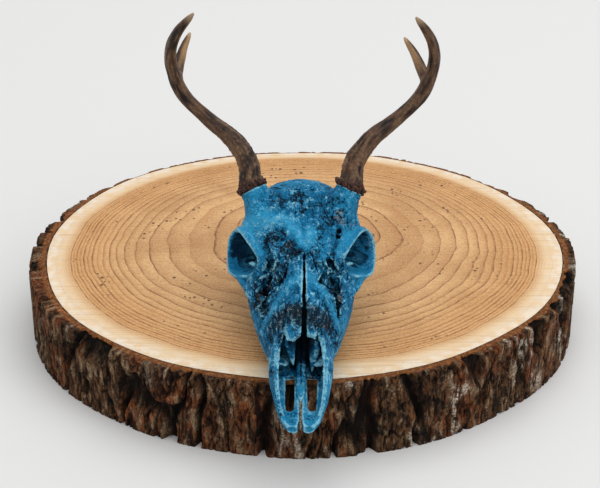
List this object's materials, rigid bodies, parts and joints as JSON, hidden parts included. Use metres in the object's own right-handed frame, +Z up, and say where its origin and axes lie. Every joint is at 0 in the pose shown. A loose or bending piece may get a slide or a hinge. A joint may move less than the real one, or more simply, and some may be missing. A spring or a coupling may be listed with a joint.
{
  "type": "painted deer skull on a wood slice",
  "caption": "Life-size skull of a young forkhorn deer, painted bright blue with bare brown antlers, resting on an oval slice of tree trunk with its bark on.",
  "frame": {"origin": "middle of the wood slice's flat underside", "axes": "+Z up, the skull faces -Y, its own left side is on +X"},
  "size_m": [0.4409, 0.4286, 0.3091],
  "materials": {
    "painted_bone": "bright blue paint rubbed thin on bone, dark in the cracks",
    "dark_painted_bone": "deep blue paint in shade",
    "antler": "bare antler, brown and grooved, paler at the tips",
    "sawn_wood": "dry sawn end grain with growth rings",
    "bark": "rough furrowed bark"
  },
  "bodies": {
    "root": {"cranium": "painted_bone", "premaxilla_left": "painted_bone", "premaxilla_right": "painted_bone", "nasal_left": "painted_bone", "nasal_right": "painted_bone", "maxilla_left": "painted_bone", "maxilla_right": "painted_bone", "cheekbone_left": "painted_bone", "cheekbone_right": "painted_bone", "nose_bar": "dark_painted_bone", "scroll_left": "dark_painted_bone", "scroll_right": "dark_painted_bone", "antler_beam_left": "antler", "antler_beam_right": "antler", "antler_prong_left": "antler", "antler_prong_right": "antler", "antler_tine_left": "antler", "antler_tine_right": "antler", "base_wood": "sawn_wood", "base_bark_1": "bark", "base_bark_2": "bark", "base_bark_3": "bark", "base_bark_4": "bark", "base_bark_5": "bark", "base_bark_6": "bark", "base_bark_7": "bark", "base_bark_8": "bark"}
  },
  "joints": []
}
